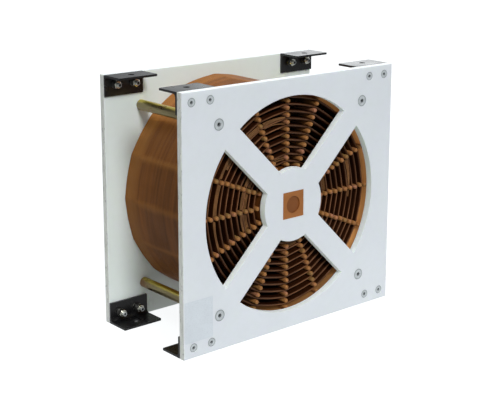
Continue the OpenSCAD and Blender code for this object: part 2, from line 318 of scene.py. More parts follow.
def layer_material(finishes, sizes):
    """The thin layers: painted dark to stand in for the shade in the ducts, with a patchy painted highlight
    on the front of their first turns, brighter where the mouths lie across the light.
    """
    n = material_nodes("layer_winding")
    tone, _, patches = wire_tone(n, finishes.layers, sizes.turn_pitch)
    # Painted highlight: the mouths' colour stands for light caught on the rounded first turns, in patches.
    ends = finishes.layer_ends
    painted_mouth_highlight = n.mix(n.grey(patches, 0.0, 0.9, 0.38, 0.62), ends, times(ends, 0.3))
    # Painted highlight by direction: brighter where a mouth lies across the light from the upper left, dimmer
    # where it runs along it.
    outward = n.vector("NORMALIZE", n.place(scale=(1, 0, 1), shift=TO_AXIS))
    across = n.vector("DOT_PRODUCT", outward, (-0.69, 0.0, 0.72))
    lit = n.grey(n.math("ABSOLUTE", across), 0.0, 1.0, 0.35, 0.85)
    painted_mouth_highlight = n.mix(lit, times(ends, 0.2), painted_mouth_highlight)
    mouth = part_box("coil_layer_1")[1].y
    end_on = n.grey(n.math("ABSOLUTE", n.facing("Y")), 0.0, 1.0, 0.82, 0.97)
    outmost = n.grey(n.along(), 0.0, 1.0, mouth - MM, mouth - 0.6 * MM)
    tone = n.mix(n.math("MULTIPLY", end_on, outmost), tone, painted_mouth_highlight)
    return varnished(n, tone, patches, 0.24, Specular_IOR_Level=0.45, Specular_Tint=(1.0, 0.56, 0.34))


def lining_material(finishes, sizes):
    """Inside of the outer coil: painted far brighter than the outside of the same winding, and given a
    painted glow though it is no lamp, to stand in for light in the ducts; painted shade darkens both towards
    the bottom.
    """
    n = material_nodes("outer_lining")
    colour = finishes.lining
    tone, _, patches = wire_tone(n, colour, sizes.turn_pitch)
    dark_under, light_over = AXIS_Z - 130 * MM, AXIS_Z - 80 * MM
    # Painted shade low down, on the colour and on the glow.
    sunk = n.grey(n.axis("Z"), 1.0, 0.0, dark_under, light_over)
    tone = n.mix(n.math("MULTIPLY", sunk, 0.72), tone, times(colour, 0.12))
    glow = n.mix(n.math("MULTIPLY", sunk, 0.6), colour, BLACK)
    return varnished(n, tone, patches, 0.5, Specular_IOR_Level=0.22, Emission_Color=glow,
                     Emission_Strength=0.16)


def rod_material(finishes):
    """Tan varnished rods with a faint lengthwise grain, each with a tone of its own."""
    n = material_nodes("spacer_rod")
    base = finishes.rod
    grain = n.noise(70, 4, 0.6, (4, 0.25, 4))
    each = n.noise(75, 1, 0.5, (1, 0.01, 1))
    tone = n.ramp(each, (0.36, (0.27, 0.15, 0.05)), (0.47, base), (0.56, base), (0.68, (0.42, 0.18, 0.11)))
    tone = n.mix(n.grey(grain, 0.45, 0, 0.35, 0.65), tone, times(base, 0.4))
    return n.surface(tone, grain, 0.36, 0.5, grain, 0.2, 0.2 * MM, Specular_IOR_Level=0.4,
                     Specular_Tint=(1.0, 0.72, 0.48))


def laminate_material(finishes):
    """Orange-brown varnished laminate with thin edge-on layers, and painted shade on what lies behind the
    bar's
    end faces: the floors of the bar's pockets and the core behind the hubs.
    """
    n = material_nodes("varnished_laminate")
    base = finishes.laminate
    plies = n.math("SINE", n.math("MULTIPLY", n.axis("Z"), 2 * math.pi / (1.6 * MM)))
    cloud = n.noise(45, 4, 0.6, (0.6, 1, 2.4))
    tone = n.mix(n.grey(cloud, 0, 1, 0.3, 0.7), times(base, 0.8), base)
    tone = n.mix(n.grey(plies, 0.16, 0.0, -1, 0.4), tone, times(base, 0.5))
    # Painted shade, growing from 0.3 to 0.9 mm behind the bar's end faces.
    bar_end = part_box("core_bar")[1].y
    sunk = n.grey(n.along(), 1.0, 0.0, bar_end - 0.9 * MM, bar_end - 0.3 * MM)
    tone = n.mix(n.math("MULTIPLY", sunk, 0.6), tone, times(base, (0.28, 0.17, 0.08)))
    return n.surface(tone, cloud, 0.3, 0.45, plies, 0.08, 0.2 * MM, Specular_IOR_Level=0.3)


def lead_material(finishes):
    """Tan wrapped leads with fine lengthwise streaks."""
    n = material_nodes("wrapped_lead")
    base = finishes.lead
    streaks = n.noise(420, 3, 0.6, (1, 3, 1))
    cloud = n.noise(60, 2, 0.5)
    tone = n.mix(n.grey(cloud, 0, 1, 0.35, 0.65), times(base, 0.6), base)
    tone = n.mix(n.grey(streaks, 0, 0.5, 0.4, 0.7), tone, times(base, 0.5))
    return n.surface(tone, cloud, 0.35, 0.5, streaks, 0.15, 0.2 * MM, Specular_IOR_Level=0.3)


def zinc_material(finishes):
    """Yellow passivated zinc on turned steel tube: olive and redder in patches, with a painted yellow
    highlight where it faces up or down.
    """
    n = material_nodes("yellow_zinc")
    cloud = n.noise(42, 3, 0.6, (1, 0.4, 1))
    lines = n.noise(300, 2, 0.5, (0.1, 3, 0.1))
    # Painted highlight: more yellow where the tube faces up or down.
    painted_highlight_mask = n.grey(n.math("ABSOLUTE", n.facing("Z")), 0.0, 1.0, 0.55, 0.95)
    tone = n.mix(painted_highlight_mask, finishes.zinc, (0.62, 0.50, 0.06))
    tone = n.mix(n.grey(cloud, 0.8, 0.0, 0.34, 0.46), tone, (0.30, 0.15, 0.08))
    return n.surface(tone, cloud, 0.24, 0.36, lines, 0.1, 0.1 * MM, Metallic=0.9)


def black_steel_material(finishes):
    """Black painted steel with a fine orange-peel skin."""
    n = material_nodes("black_steel")
    base = finishes.black
    peel = n.noise(520, 2, 0.5)
    cloud = n.noise(30, 3, 0.6)
    tone = n.mix(n.grey(cloud, 0, 1, 0.35, 0.65), times(base, 0.7), base)
    return n.surface(tone, cloud, 0.24, 0.34, peel, 0.08, 0.2 * MM, Specular_IOR_Level=0.5)


def screw_heads(n, tone, node):
    """Painted shade in the socket, a pale land and a darker rim on the heads of a CAD node's screws. Their
    places mirror each other about the axis, and this finds how far a spot is from the nearest."""
    boxes = solid_boxes(node)
    radius = max(high.x - low.x for low, high in boxes) / 2
    middles = ("X", {abs(low.x + high.x) / 2 for low, high in boxes})
    heights = ("Z", {abs((low.z + high.z) / 2 - AXIS_Z) for low, high in boxes})
    centred = n.place(shift=TO_AXIS)
    squares = []
    for axis, spots in (middles, heights):
        near, far = round(min(spots), 4), round(max(spots), 4)
        off = n.math("SUBTRACT", n.math("ABSOLUTE", n.axis(axis, centred)), (near + far) / 2)
        off = n.math("SUBTRACT", n.math("ABSOLUTE", off), (far - near) / 2)
        squares.append(n.math("MULTIPLY", off, off))
    across = n.math("DIVIDE", n.math("SQRT", n.math("ADD", *squares)), radius)
    # Painted shade in the sockets, at the heads' middles.
    head = n.ramp(across, (0.24, (0.02, 0.025, 0.03)), (0.40, WHITE), (0.78, WHITE),
                  (0.93, (0.52, 0.54, 0.55)))
    return n.mix(1.0, tone, head, "MULTIPLY")


def bright_zinc_material(name, shade, gloss, metal, heads_of=None):
    """Bright zinc plated steel of screws, nuts and washers. heads_of names a CAD node of screws."""
    n = material_nodes(name)
    cloud = n.noise(160, 3, 0.6)
    fine = n.noise(900, 2, 0.5)
    tone = n.mix(n.grey(cloud, 0, 1, 0.35, 0.65), times(shade, 0.8), shade)
    if heads_of:
        tone = screw_heads(n, tone, heads_of)
    return n.surface(tone, cloud, gloss, gloss + 0.15, fine, 0.05, 0.1 * MM, Metallic=metal)


def label_material(finishes):
    """Pale matt film, a little soiled."""
    n = material_nodes("blank_label_film")
    base = finishes.label
    specks = n.noise(420, 3, 0.6)
    cloud = n.noise(40, 3, 0.6)
    tone = n.mix(n.grey(cloud, 0.0, 0.5, 0.4, 0.65), base, times(base, 0.9))
    tone = n.mix(n.grey(specks, 0.0, 0.35, 0.5, 0.7), tone, times(base, 0.75))
    return n.surface(tone, specks, 0.25, 0.35, specks, 0.03, 0.2 * MM, Specular_IOR_Level=0.5)


# ---------------------------------------------------------------- mesh helpers

def deselect_all():
    if bpy.context.object and bpy.context.object.mode != "OBJECT":
        bpy.ops.object.mode_set(mode="OBJECT")
    bpy.ops.object.select_all(action="DESELECT")


def take(obj):
    """Leaves edit mode with this piece alone selected and active."""
    deselect_all()
    obj.select_set(True)
    bpy.context.view_layer.objects.active = obj


def edit(obj, how="VERT", action="SELECT"):
    """Opens a piece in edit mode with all of it selected, or none with the action DESELECT."""
    take(obj)
    bpy.ops.object.mode_set(mode="EDIT")
    bpy.ops.mesh.select_mode(type=how)
    bpy.ops.mesh.select_all(action=action)


def choose(obj, test):
    """Selects a piece's vertices that pass a test of their place, in edit mode."""
    edit(obj, action="DESELECT")
    bpy.ops.object.mode_set(mode="OBJECT")
    for vertex in obj.data.vertices:
        vertex.select = bool(test(vertex.co))
    bpy.ops.object.mode_set(mode="EDIT")


def extrude(x, y):
    """Extrudes what is selected and moves it along X and Y."""
    bpy.ops.mesh.extrude_region_move(TRANSFORM_OT_translate={"value": (x, y, 0)})


def widen(factor, centre=ON_AXIS):
    """Scales what is selected across Y about a centre, the coil's axis unless told."""
    bpy.ops.transform.resize(value=(factor, 1, factor), center_override=centre)


def turn_round(degrees):
    """Turns what is selected about the coil's axis, from +X towards +Z."""
    bpy.ops.transform.rotate(value=math.radians(degrees), orient_axis="Y", center_override=ON_AXIS)


def fix_place(obj):
    """Bakes a piece's place, turn and scale into its mesh."""
    take(obj)
    bpy.ops.object.transform_apply(location=True, rotation=True, scale=True)


def oblong(name, middle, size, rotation=(0, 0, 0)):
    """A flat oblong with a size along each axis, open in edit mode and selected, to shape further."""
    deselect_all()
    bpy.ops.mesh.primitive_plane_add(size=1, location=middle, rotation=rotation)
    obj = bpy.context.object
    obj.name = name
    bpy.ops.transform.resize(value=size)
    fix_place(obj)
    edit(obj)
    return obj


def round_corners(radius, segments):
    """Rounds the corners of an open oblong and selects its face."""
    bpy.ops.mesh.bevel(offset=radius, segments=segments, affect="VERTICES")
    bpy.ops.mesh.select_mode(type="FACE")
    bpy.ops.mesh.select_all(action="SELECT")


def apply(obj, kind, **values):
    """Adds a modifier to a piece and applies it."""
    take(obj)
    modifier = obj.modifiers.new(kind.lower(), kind)
    for key, value in values.items():
        setattr(modifier, key, value)
    bpy.ops.object.modifier_apply(modifier=modifier.name)


def join(pieces, name):
    """Joins pieces into the first one."""
    deselect_all()
    for piece in pieces:
        piece.select_set(True)
    bpy.context.view_layer.objects.active = pieces[0]
    if len(pieces) > 1:
        bpy.ops.object.join()
    pieces[0].name = name
    pieces[0].data.name = name
    return pieces[0]


def copy_of(source, name):
    """A copy of an object with its own mesh, at the origin."""
    obj = bpy.data.objects.new(name, source.data.copy())
    bpy.context.scene.collection.objects.link(obj)
    return obj


def merged_copy(node, name):
    """A copy of a CAD node whose loose triangles are merged, to model on or to measure."""
    obj = copy_of(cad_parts[node], name)
    edit(obj)
    bpy.ops.mesh.customdata_custom_splitnormals_clear()
    bpy.ops.mesh.remove_doubles(threshold=MERGE)
    bpy.ops.mesh.select_all(action="DESELECT")
    bpy.ops.object.mode_set(mode="OBJECT")
    return obj


def solid_boxes(node):
    """Lowest and highest corner of each solid of a CAD node."""
    edit(merged_copy(node, "measured"))
    bpy.ops.mesh.separate(type="LOOSE")
    bpy.ops.object.mode_set(mode="OBJECT")
    boxes = []
    for part in list(bpy.context.selected_objects):
        spots = [v.co for v in part.data.vertices]
        boxes.append([Vector([reach(s[i] for s in spots) for i in range(3)]) for reach in (min, max)])
        bpy.data.meshes.remove(part.data)
    return boxes


def tidy_surface(obj, smooth_under):
    """Merges, turns the faces outwards and smooths edges flatter than an angle in degrees."""
    edit(obj)
    bpy.ops.mesh.remove_doubles(threshold=MERGE)
    bpy.ops.mesh.normals_make_consistent(inside=False)
    take(obj)
    bpy.ops.object.shade_smooth_by_angle(angle=math.radians(smooth_under))


def paint(obj, material):
    """Gives a piece or a CAD node one material all over."""
    obj.data.materials.clear()
    obj.data.materials.append(material)


def settle(obj, material, replaced=()):
    """Fixes a finished piece's place, paints it and hands it to the frame."""
    fix_place(obj)
    paint(obj, material)
    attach(obj, "root")
    if replaced:
        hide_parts(*replaced)
    obj.select_set(False)
    return obj


# ---------------------------------------------------------------- the winding

def off_axis(spot):
    return math.hypot(spot.x, spot.z - AXIS_Z)


def rim(node, name):
    """The outside outline of a wound node's front end, as one closed run of edges, and its radius at a rod,
    the ring's inside radius at a rod and where its front end lies along the coil."""
    obj = merged_copy(node, name)
    front = min(v.co.y for v in obj.data.vertices)
    radii = [off_axis(v.co) for v in obj.data.vertices]
    middle = (min(radii) + max(radii)) / 2
    inside = max(r for r in radii if r < middle)
    choose(obj, lambda at: at.y > front + 0.1 * MM or off_axis(at) < middle)
    bpy.ops.mesh.delete(type="VERT")
    bpy.ops.mesh.select_all(action="SELECT")
    bpy.ops.mesh.delete(type="ONLY_FACE")
    bpy.ops.object.mode_set(mode="OBJECT")
    if len(obj.data.edges) != len(obj.data.vertices):
        raise RuntimeError(f"the outline of {node} isn't one closed run of edges")
    return obj, max(radii), inside, front


def ring_sizes(node):
    """A wound node's outside and inside radius at a rod, and where its front end lies along the coil."""
    obj, *sizes = rim(node, "measured")
    bpy.data.meshes.remove(obj.data)
    return sizes


def swept(node, name, section):
    """A wound node's outline swept through a section of (place along the coil, radius at a rod)."""
    obj, radius, _, front = rim(node, name)
    edit(obj, "EDGE")
    place, first = section[0]
    bpy.ops.transform.translate(value=(0, place - front, 0))
    widen(first / radius)
    radius = first
    for to_place, to_radius in section[1:]:
        extrude(0, to_place - place)
        widen(to_radius / radius)
        place, radius = to_place, to_radius
    bpy.ops.object.mode_set(mode="OBJECT")
    return obj


def turn_section(start, pitch, crest, valley):
    """One turn of wire from the groove before it to the groove after it."""
    return [(start + pitch * along, crest + deep * (valley - crest)) for along, deep in WIRE]


def mirrored(obj):
    """Mirrors the front half of a ring to the back and finishes its surface."""
    apply(obj, "MIRROR", use_axis=(False, True, False), use_mirror_merge=True, merge_threshold=MERGE_TURNS)
    tidy_surface(obj, 42)
    return obj


def layer_piece(node, sizes):
    """A coil layer: rounded first turn, the turns that can be seen in the duct, and a plain middle."""
    pitch = sizes.turn_pitch
    outer, inner, front = ring_sizes(node)
    middle, half = (outer + inner) / 2, (outer - inner) / 2 + sizes.layer_wrap
    sides = []
    for inward in (-1, 1):
        crest = middle - inward * half
        valley = crest + inward * sizes.turn_depth
        side = [(front + pitch * along, middle - inward * half * share) for along, share in FIRST_TURN]
        side.append((front + pitch, valley))
        for turn in range(1, TURNS_SEEN):
            side += turn_section(front + turn * pitch, pitch, crest, valley)[1:]
        sides.append(side + [(0, valley)])
    section = sides[0][::-1] + sides[1]
    return mirrored(swept(node, node.replace("coil_layer", "wound_layer"), section))


def outer_piece(node, sizes):
    """The outer coil: every turn is a ridge, outside and inside."""
    outer, inner, front = ring_sizes(node)
    turns = round(-front / sizes.turn_pitch)
    pitch = -front / turns
    valleys = (outer - sizes.turn_depth, inner + sizes.turn_depth)
    pieces = []
    for crest, valley in zip((outer, inner), valleys):
        face = swept(node, "outer_face", turn_section(front, pitch, crest, valley))
        apply(face, "ARRAY", count=turns, use_relative_offset=False, use_constant_offset=True,
              constant_offset_displace=(0, pitch, 0), use_merge_vertices=True, merge_threshold=MERGE_TURNS)
        pieces.append(face)
    pieces.append(swept(node, "outer_end", [(front, valley) for valley in valleys]))
    return mirrored(join(pieces, "outer_winding"))


# ---------------------------------------------------------------- rods and fasteners

def turned(name, profile, sides=32):
    """A shape turned about the Y axis through a profile of (place along Y, radius). It has flat closed ends,
    or it is a ring where the profile returns to its start."""
    ring = profile[0] == profile[-1]
    place, radius = profile[0]
    deselect_all()
    bpy.ops.mesh.primitive_circle_add(
        vertices=sides, radius=radius, fill_type="NOTHING" if ring else "NGON",
        rotation=(math.pi / 2, 0, 0), location=(0, place, 0))
    obj = bpy.context.object
    obj.name = name
    fix_place(obj)
    edit(obj, "EDGE" if ring else "FACE")
    for to_place, to_radius in profile[1:]:
        extrude(0, to_place - place)
        widen(to_radius / radius, (0, 0, 0))
        place, radius = to_place, to_radius
    tidy_surface(obj, 35)
    return obj


def cut_with(obj, cutter, operation="DIFFERENCE"):
    """Cuts a piece with another, which is used up."""
    apply(obj, "BOOLEAN", operation=operation, object=cutter, solver="EXACT")
    bpy.data.meshes.remove(cutter.data)


def slice_off(obj, place, outwards):
    """Cuts off what lies beyond a plane and closes the cut."""
    edit(obj)
    bpy.ops.mesh.bisect(plane_co=place, plane_no=outwards, use_fill=True, clear_outer=True)
    bpy.ops.object.mode_set(mode="OBJECT")


def hexagon_nut(across, height, bore):
    """A nut with chamfered corners and a countersunk bore, from y = 0 upwards."""
    corner, flat = across / math.sqrt(3), across / 2
    face = 0.96 * flat
    chamfer = (corner - face) * math.tan(math.radians(30))
    nut = turned("nut", [(0, face), (chamfer, corner), (height - chamfer, corner), (height, face)], 48)
    for side in range(6):
        angle = math.pi * side / 3
        outwards = Vector((math.cos(angle), 0, math.sin(angle)))
        slice_off(nut, outwards * flat, outwards)
    sink = 0.45 * MM
    wide = bore + 2 * sink
    cut_with(nut, turned("bore", [(-sink, wide), (sink, bore), (height - sink, bore), (height + sink, wide)]))
    tidy_surface(nut, 25)
    return nut


def plain_washer(outer, inner, thick):
    """A flat ring with broken edges."""
    edge = 0.2 * MM
    return turned("washer", [(0, inner), (0, outer - edge), (edge, outer), (thick - edge, outer),
                             (thick, outer - edge), (thick, inner), (0, inner)], 40)


def spring_ring(outer, inner, thick):
    """A split ring of square wire whose two ends stand a little apart."""
    wire, rise = 0.84 * thick, 0.16 * thick
    ring = oblong("spring_ring", ((outer + inner) / 2, wire / 2, 0), (outer - inner, wire, 1))
    bpy.ops.mesh.delete(type="ONLY_FACE")
    apply(ring, "SCREW", axis="Y", angle=math.radians(338), screw_offset=rise, steps=28, render_steps=28)
    edit(ring)
    bpy.ops.mesh.fill_holes(sides=4)
    tidy_surface(ring, 30)
    return ring


def thread_end(length, pitch, crest, root):
    """The threaded end of a screw, from y = 0 to its chamfered tip."""
    thread = oblong("thread", (root, -pitch, 0), (MM, MM, 1))
    first = thread.data.vertices[0].co.copy()
    choose(thread, lambda at: at != first)
    bpy.ops.mesh.delete(type="VERT")
    bpy.ops.mesh.select_all(action="SELECT")
    bpy.ops.transform.translate(value=Vector((root, -pitch, 0)) - first)
    for outwards, along in ((crest - root, 0.42), (0, 0.16), (root - crest, 0.42)):
        extrude(outwards, along * pitch)
    turns = math.ceil(length / pitch) + 2
    apply(thread, "SCREW", axis="Y", screw_offset=pitch, iterations=turns, steps=20, render_steps=20)
    tidy_surface(thread, 30)
    slice_off(thread, (0, 0, 0), (0, -1, 0))
    slice_off(thread, (0, length, 0), (0, 1, 0))
    tidy_surface(thread, 30)
    tip, play = crest - root + 0.2 * MM, 0.1 * MM
    cone = [(-MM, crest + play), (length - tip, crest + play), (length + play, root - 0.3 * MM)]
    cut_with(thread, turned("tip", cone, 40), "INTERSECT")
    tidy_surface(thread, 30)
    return thread


def placed_copies(source, places, name):
    """Copies of a part at places of (spot, which way its +Y points, turn about its axis), joined."""
    pieces = []
    for k, (spot, way, turn) in enumerate(places):
        piece = copy_of(source, f"{name}_{k}")
        piece.location = spot
        piece.rotation_euler = (0, turn, 0 if way > 0 else math.pi)
        fix_place(piece)
        pieces.append(piece)
    bpy.data.meshes.remove(source.data)
    return join(pieces, name)


# ---------------------------------------------------------------- leads and label

def strand(name, start, end, radii, depth, width, thick):
    """A flat lead that runs round inside a duct's mouth, from one angle to another in degrees, while its
    distance from the coil's axis changes along the given radii. depth is how far it lies behind the layers'
    ends."""
    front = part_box("coil_layer_1")[0].y + depth
    obj = oblong(name, (radii[0], front + thick / 2, AXIS_Z), (width, thick, 1))
    round_corners(0.3 * thick, 2)
    turn_round(start)
    steps = max(2, round((end - start) / LEAD_STEP))
    radius = radii[0]
    for k in range(1, steps + 1):
        share = k / steps * (len(radii) - 1)
        index = min(int(share), len(radii) - 2)
        to_radius = radii[index] + (share - index) * (radii[index + 1] - radii[index])
        extrude(0, 0)
        turn_round((end - start) / steps)
        widen(to_radius / radius)
        radius = to_radius
    tidy_surface(obj, 50)
    return obj


def label_piece(sizes):
    """A thin blank label with rounded corners, low on the left of the front plate."""
    width, height = sizes.label_size
    left, low = PLATE_LOW.x + sizes.label_place[0], PLATE_LOW.z + sizes.label_place[1]
    middle = (left + width / 2, PLATE_LOW.y, low + height / 2)
    label = oblong("blank_label", middle, (width, 1, height), (math.pi / 2, 0, 0))
    round_corners(1.5 * MM, 5)
    extrude(0, -sizes.label_thickness)
    tidy_surface(label, 30)
    return label


# ---------------------------------------------------------------- settings

COLOUR = {"subtype": "COLOR", "size": 3, "min": 0, "max": 1}
LENGTH = {"subtype": "DISTANCE", "unit": "LENGTH"}


class ReactorFinishes(bpy.types.PropertyGroup):
    """Colours of the reactor's finishes."""

    board: bpy.props.FloatVectorProperty(
        name="Board", description="Resin colour of the end plates", default=(0.78, 0.825, 0.865), **COLOUR)
    winding: bpy.props.FloatVectorProperty(
        name="Winding", description="Varnished wire of the coil", default=(0.20, 0.069, 0.0115), **COLOUR)
    end_bands: bpy.props.FloatVectorProperty(
        name="End bands", description="Paler bands at the ends of the outer coil and over the rods",
        default=(0.30, 0.12, 0.024), **COLOUR)
    # Painted light: far brighter than the outside of the same winding, to stand in for light in the ducts.
    lining: bpy.props.FloatVectorProperty(
        name="Lining", description="Inside of the outer coil", default=(0.74, 0.33, 0.105), **COLOUR)
    # Painted shade: the same wire as the outer coil, painted dark to stand in for the shade in the ducts.
    layers: bpy.props.FloatVectorProperty(
        name="Layers", description="Dark varnished wire of the layers in the ducts",
        default=(0.030, 0.008, 0.002), **COLOUR)
    # Painted highlight on the first turn of each layer.
    layer_ends: bpy.props.FloatVectorProperty(
        name="Layer ends", description="First turn of each layer, where it catches the light",
        default=(0.245, 0.105, 0.046), **COLOUR)
    lead: bpy.props.FloatVectorProperty(
        name="Leads", description="Wrapped leads that cross between the layers",
        default=(0.24, 0.105, 0.032), **COLOUR)
    label: bpy.props.FloatVectorProperty(
        name="Label", description="Film of the blank label", default=(0.70, 0.76, 0.81), **COLOUR)
    rod: bpy.props.FloatVectorProperty(
        name="Rods", description="Spacer rods between the layers", default=(0.385, 0.167, 0.053), **COLOUR)
    laminate: bpy.props.FloatVectorProperty(
        name="Laminate", description="Core bar and the core behind the hubs",
        default=(0.405, 0.152, 0.040), **COLOUR)
    zinc: bpy.props.FloatVectorProperty(
        name="Yellow zinc", description="Plating of the tie tubes", default=(0.27, 0.22, 0.115), **COLOUR)
    black: bpy.props.FloatVectorProperty(
        name="Black paint", description="Paint of the brackets", default=(0.010, 0.010, 0.011), **COLOUR)
    screws: bpy.props.FloatVectorProperty(
        name="Screws", description="Plating of the countersunk screws", default=(0.64, 0.69, 0.71), **COLOUR)
    nuts: bpy.props.FloatVectorProperty(
        name="Nuts", description="Plating of the nuts and threads", default=(0.92, 0.92, 0.82), **COLOUR)
    washers: bpy.props.FloatVectorProperty(
        name="Washers", description="Plating of the washers and spring rings",
        default=(0.16, 0.16, 0.15), **COLOUR)


class ReactorSizes(bpy.types.PropertyGroup):
    """Sizes of the pieces that the scene adds."""

    turn_pitch: bpy.props.FloatProperty(
        name="Turn pitch", description="Spacing of the wire's turns along the coil",
        default=1.8 * MM, min=0.8 * MM, max=4 * MM, **LENGTH)
    turn_depth: bpy.props.FloatProperty(
        name="Turn depth", description="Depth of the groove between two turns",
        default=0.3 * MM, min=0.1 * MM, max=0.8 * MM, **LENGTH)
    end_band: bpy.props.FloatProperty(
        name="End band", description="Width of the pale band at each end of the outer coil",
        default=22 * MM, min=5 * MM, max=50 * MM, **LENGTH)
    layer_wrap: bpy.props.FloatProperty(
        name="Layer wrap", description="How far the wrapping thickens each side of a layer",
        default=0.5 * MM, min=0, max=0.7 * MM, **LENGTH)
    rod_diameter: bpy.props.FloatProperty(
        name="Rod diameter", description="Diameter of the spacer rods",
        default=6.4 * MM, min=5 * MM, max=7.4 * MM, **LENGTH)
    rod_scatter: bpy.props.FloatProperty(
        name="Rod scatter", description="How far a rod may stand from its even place round the coil",
        default=0.7 * MM, min=0, max=2 * MM, **LENGTH)
    thread_pitch: bpy.props.FloatProperty(
        name="Thread pitch", description="Pitch of the bracket screws' thread",
        default=1 * MM, min=0.5 * MM, max=1.5 * MM, **LENGTH)
    thread_crest: bpy.props.FloatProperty(
        name="Thread crest", description="Radius over the thread's crests",
        default=3.12 * MM, min=2.8 * MM, max=3.4 * MM, **LENGTH)
    thread_root: bpy.props.FloatProperty(
        name="Thread root", description="Radius in the thread's grooves",
        default=2.9 * MM, min=2.5 * MM, max=3 * MM, **LENGTH)
    lead_width: bpy.props.FloatProperty(
        name="Lead width", description="Width of a lead across its duct",
        default=1.5 * MM, min=1 * MM, max=3 * MM, **LENGTH)
    lead_thickness: bpy.props.FloatProperty(
        name="Lead thickness", description="Thickness of a lead along the coil",
        default=1.5 * MM, min=0.5 * MM, max=3 * MM, **LENGTH)
    label_size: bpy.props.FloatVectorProperty(
        name="Label size", description="Width and height of the blank label",
        subtype="XYZ", unit="LENGTH", size=2, default=(46 * MM, 57 * MM))
    label_place: bpy.props.FloatVectorProperty(
        name="Label place", description="Distance of the label from the plate's left and lower edges",
        subtype="XYZ", unit="LENGTH", size=2, default=(2 * MM, 22 * MM))
    label_thickness: bpy.props.FloatProperty(
        name="Label thickness", description="How far the label stands proud",
        default=0.15 * MM, min=0.05 * MM, max=0.5 * MM, **LENGTH)


class StudioSettings(bpy.types.PropertyGroup):
    """Camera and light."""

    camera_place: bpy.props.FloatVectorProperty(
        name="Camera", description="Where the camera stands", subtype="XYZ", unit="LENGTH",
        size=3, default=(-1.053, -1.257, 0.622))
    heading: bpy.props.FloatProperty(
        name="Heading", description="Turn of the view from +Y towards +X", subtype="ANGLE",
        default=math.radians(41.41))
    tilt: bpy.props.FloatProperty(
        name="Tilt", description="How far the view looks down", subtype="ANGLE", default=math.radians(12.67))
    roll: bpy.props.FloatProperty(
        name="Roll", description="Roll of the camera", subtype="ANGLE", default=math.radians(0.42))
    focal_length: bpy.props.FloatProperty(
        name="Lens", description="Focal length in millimetres", min=20, max=300, default=88.6)
    frame_shift: bpy.props.FloatVectorProperty(
        name="Shift", description="Sideways and upward shift of the frame, in frame widths",
        size=2, default=(-0.083, -0.125))
    room_light: bpy.props.FloatProperty(
        name="Room light", description="Even light from all around", min=0, max=3, default=0.2)
    backdrop: bpy.props.FloatProperty(
        name="Backdrop", description="Brightness behind the reactor, as mirrored", min=0, max=3, default=1.05)
    room_front: bpy.props.FloatProperty(
        name="Room in front", description="Brightness before the reactor, as mirrored",
        min=0, max=3, default=0.3)
    room_left: bpy.props.FloatProperty(
        name="Room, left", description="Share of the mirrored room's light to the left",
        min=0, max=4, default=0.4)
    room_right: bpy.props.FloatProperty(
        name="Room, right", description="Share of the mirrored room's light to the right",
        min=0, max=4, default=2.2)
    key_light: bpy.props.FloatProperty(
        name="Key light", description="Light from the front, raised and a little left",
        min=0, max=20, default=1.8)
    fill_light: bpy.props.FloatProperty(
        name="Fill light", description="Broad light from the front left", min=0, max=20, default=0.2)
    top_light: bpy.props.FloatProperty(
        name="Top light", description="Broad light from above", min=0, max=20, default=1.6)
    floor_glow: bpy.props.FloatProperty(
        name="Floor glow", description="Light that the floor near the reactor gives off",
        min=0, max=2, default=0.35)
    far_floor: bpy.props.FloatProperty(
        name="Far floor", description="Light that the floor further away gives off",
        min=0, max=2, default=0.05)


# ---------------------------------------------------------------- operators

class REACTOR_OT_finish_parts(bpy.types.Operator):
    """Give every CAD part its finish"""

    bl_idname = "reactor.finish_parts"
    bl_label = "Finish the CAD parts"

    def execute(self, context):
        finishes = context.scene.reactor_finishes
        board = board_material(finishes)
        laminate = laminate_material(finishes)
        black = black_steel_material(finishes)
        by_start = {
            "front_plate": board,
            "back_plate": board,
            "winding_core": laminate,
            "core_bar": laminate,
            "tie_tube": zinc_material(finishes),
            "bracket_front": black,
            "bracket_back": black,
            "tie_screws": bright_zinc_material("tie_screw_zinc", finishes.screws, 0.4, 0.25, "tie_screws"),
            "bracket_screws": bright_zinc_material(
                "bracket_screw_zinc", finishes.screws, 0.4, 0.25, "bracket_screws"),
        }
        for start, material in by_start.items():
            for name in node_names(start):
                paint(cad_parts[name], material)
        return {"FINISHED"}


class REACTOR_OT_winding(bpy.types.Operator):
    """Wind the outer coil and the layers, turn by turn, on the outlines of the CAD rings"""

    bl_idname = "reactor.winding"
    bl_label = "Winding"

    def execute(self, context):
        finishes = context.scene.reactor_finishes
        sizes = context.scene.reactor_sizes
        outside = outer_material(finishes, sizes)
        coil = settle(outer_piece("outer_coil", sizes), outside, ["outer_coil"])
        coil.data.materials.append(lining_material(finishes, sizes))
        for face in coil.data.polygons:
            outwards = face.center - Vector((0, face.center.y, AXIS_Z))
            face.material_index = 1 if face.normal.dot(outwards) < 0 else 0
        wire = layer_material(finishes, sizes)
        for node in node_names("coil_layer"):
            settle(layer_piece(node, sizes), wire, [node])
        return {"FINISHED"}


